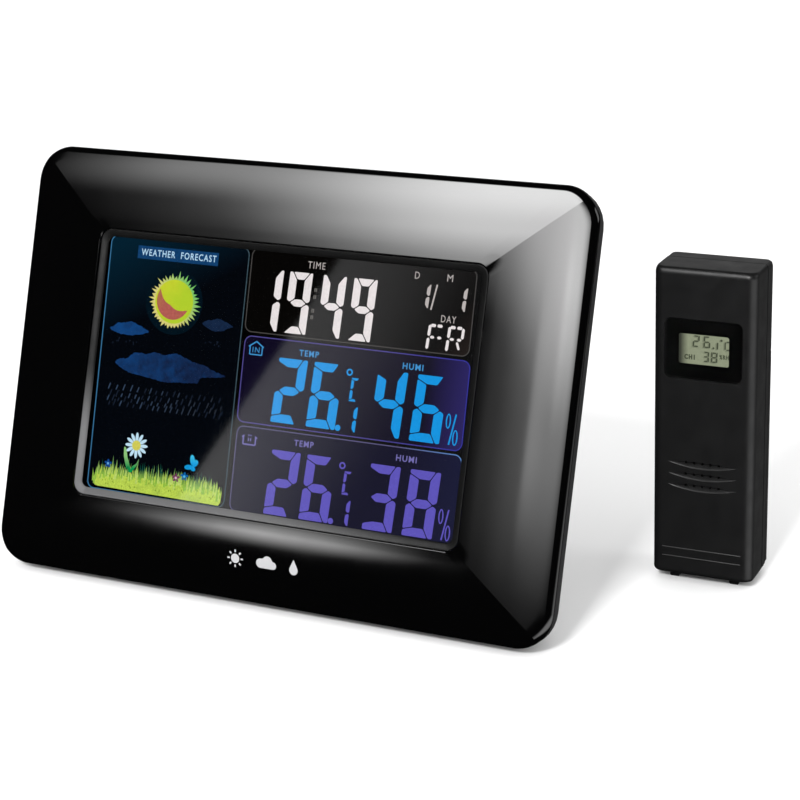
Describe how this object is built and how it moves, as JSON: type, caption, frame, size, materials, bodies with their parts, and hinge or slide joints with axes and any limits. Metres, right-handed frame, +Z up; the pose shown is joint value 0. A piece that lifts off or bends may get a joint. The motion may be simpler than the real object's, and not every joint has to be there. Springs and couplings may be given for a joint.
{
  "type": "home weather station",
  "caption": "Desk weather station: a reclined console with a colour display in a sloping frame, a fold-out leg behind it, and a slim outdoor sensor.",
  "frame": {"origin": "on the table, under the middle of the box round the console and the sensor standing beside it", "axes": "+X to the right along the console's width, +Y away from the viewer, +Z up"},
  "size_m": [0.24, 0.0918, 0.1345],
  "materials": {
    "board_green": "green solder mask on glass-epoxy",
    "cell_jacket": "plain printed steel jacket",
    "copper": "enamelled copper wire",
    "epoxy_black": "black epoxy and moulded plastic",
    "gloss_black": "polished black ABS",
    "lcd_glass": "display glass with polarising film",
    "ledge_grey": "matt dark grey ABS",
    "light_white": "milky white acrylic and polyester",
    "matt_black": "fine spark-eroded black ABS",
    "natural_plastic": "uncoloured ABS",
    "printed_film": "printed polyester film",
    "rubber": "black silicone rubber",
    "sensor_lcd": "reflective grey-green display",
    "smoked_clear": "clear acrylic pane with a light smoke tint",
    "spring_steel": "nickel-plated spring steel"
  },
  "bodies": {
    "console": {"antenna_coil": "copper", "backlight_led_strip": "light_white", "backup_cell_1": "cell_jacket", "backup_cell_2": "cell_jacket", "backup_cell_3": "cell_jacket", "battery_contact_left": "spring_steel", "battery_contact_right": "spring_steel", "buzzer": "epoxy_black", "case_screw_lower_left": "spring_steel", "case_screw_lower_right": "spring_steel", "case_screw_upper_left": "spring_steel", "case_screw_upper_right": "spring_steel", "colour_filter_film": "printed_film", "dc_jack": "epoxy_black", "diffuser_sheet": "light_white", "elastomer_connector": "rubber", "front_bezel": "gloss_black", "key_board": "board_green", "lcd_front_glass": "lcd_glass", "lcd_holder": "natural_plastic", "lcd_rear_glass": "lcd_glass", "light_guide": "light_white", "main_board": "board_green", "pressure_sensor": "spring_steel", "processor": "epoxy_black", "radio_receiver": "board_green", "rear_housing": "matt_black", "reflector_sheet": "light_white", "room_sensor": "light_white", "rubber_foot_left": "rubber", "rubber_foot_right": "rubber", "snooze_board": "board_green", "stand_hinge_pin": "spring_steel", "window_frame": "ledge_grey", "window_lens": "smoked_clear"},
    "stand": {"stand_leg": "matt_black", "stand_foot_pad": "rubber"},
    "console_battery_door": {"battery_door": "matt_black"},
    "mode_key": {"mode_key": "rubber"},
    "alarm_key": {"alarm_key": "rubber"},
    "up_key": {"up_key": "rubber"},
    "down_key": {"down_key": "rubber"},
    "channel_key": {"channel_key": "rubber"},
    "snooze_key": {"snooze_key": "matt_black"},
    "sensor": {"sensor_antenna_coil": "copper", "sensor_board": "board_green", "sensor_cell_1": "cell_jacket", "sensor_cell_2": "cell_jacket", "sensor_contact_lower": "spring_steel", "sensor_contact_upper": "spring_steel", "sensor_front_case": "matt_black", "sensor_lcd": "sensor_lcd", "sensor_mask": "gloss_black", "sensor_probe": "light_white", "sensor_rear_case": "matt_black", "sensor_screw": "spring_steel", "sensor_window": "smoked_clear"},
    "sensor_battery_door": {"sensor_battery_door": "matt_black"},
    "channel_switch": {"channel_switch_knob": "natural_plastic"},
    "transmit_button": {"transmit_button": "rubber"}
  },
  "joints": [
    {"name": "stand_fold", "type": "hinge", "parent": "console", "child": "stand", "pos_m": [-0.01997, -0.00562, 0.05451], "axis": [-1, 0, 0], "range_deg": [0, 36.7]},
    {"name": "battery_door_swing", "type": "hinge", "parent": "console", "child": "console_battery_door", "pos_m": [-0.01997, 0.00141, 0.0691], "axis": [-1, 0, 0], "range_deg": [0, 100]},
    {"name": "mode_press", "type": "slide", "parent": "console", "child": "mode_key", "axis": [0, -0.9415, 0.3371], "range_m": [0, 0.0008], "stiffness_N_per_m": 1500},
    {"name": "alarm_press", "type": "slide", "parent": "console", "child": "alarm_key", "axis": [0, -0.9415, 0.3371], "range_m": [0, 0.0008], "stiffness_N_per_m": 1500},
    {"name": "up_press", "type": "slide", "parent": "console", "child": "up_key", "axis": [0, -0.9415, 0.3371], "range_m": [0, 0.0008], "stiffness_N_per_m": 1500},
    {"name": "down_press", "type": "slide", "parent": "console", "child": "down_key", "axis": [0, -0.9415, 0.3371], "range_m": [0, 0.0008], "stiffness_N_per_m": 1500},
    {"name": "channel_press", "type": "slide", "parent": "console", "child": "channel_key", "axis": [0, -0.9415, 0.3371], "range_m": [0, 0.0008], "stiffness_N_per_m": 1500},
    {"name": "snooze_press", "type": "slide", "parent": "console", "child": "snooze_key", "axis": [0, -0.3371, -0.9415], "range_m": [0, 0.0008], "stiffness_N_per_m": 1500},
    {"name": "sensor_lift", "type": "slide", "parent": "console", "child": "sensor", "axis": [0, 0, 1], "range_m": [0, 0.15]},
    {"name": "sensor_door_swing", "type": "hinge", "parent": "sensor", "child": "sensor_battery_door", "pos_m": [0.10322, 0.04399, 0.004], "axis": [-0.9998, -0.0175, 0], "range_deg": [0, 85]},
    {"name": "channel_slide", "type": "slide", "parent": "sensor", "child": "channel_switch", "axis": [0.9998, 0.0175, 0], "range_m": [0, 0.004]},
    {"name": "transmit_press", "type": "slide", "parent": "sensor", "child": "transmit_button", "axis": [0.0175, -0.9998, 0], "range_m": [0, 0.0005], "stiffness_N_per_m": 1500}
  ]
}
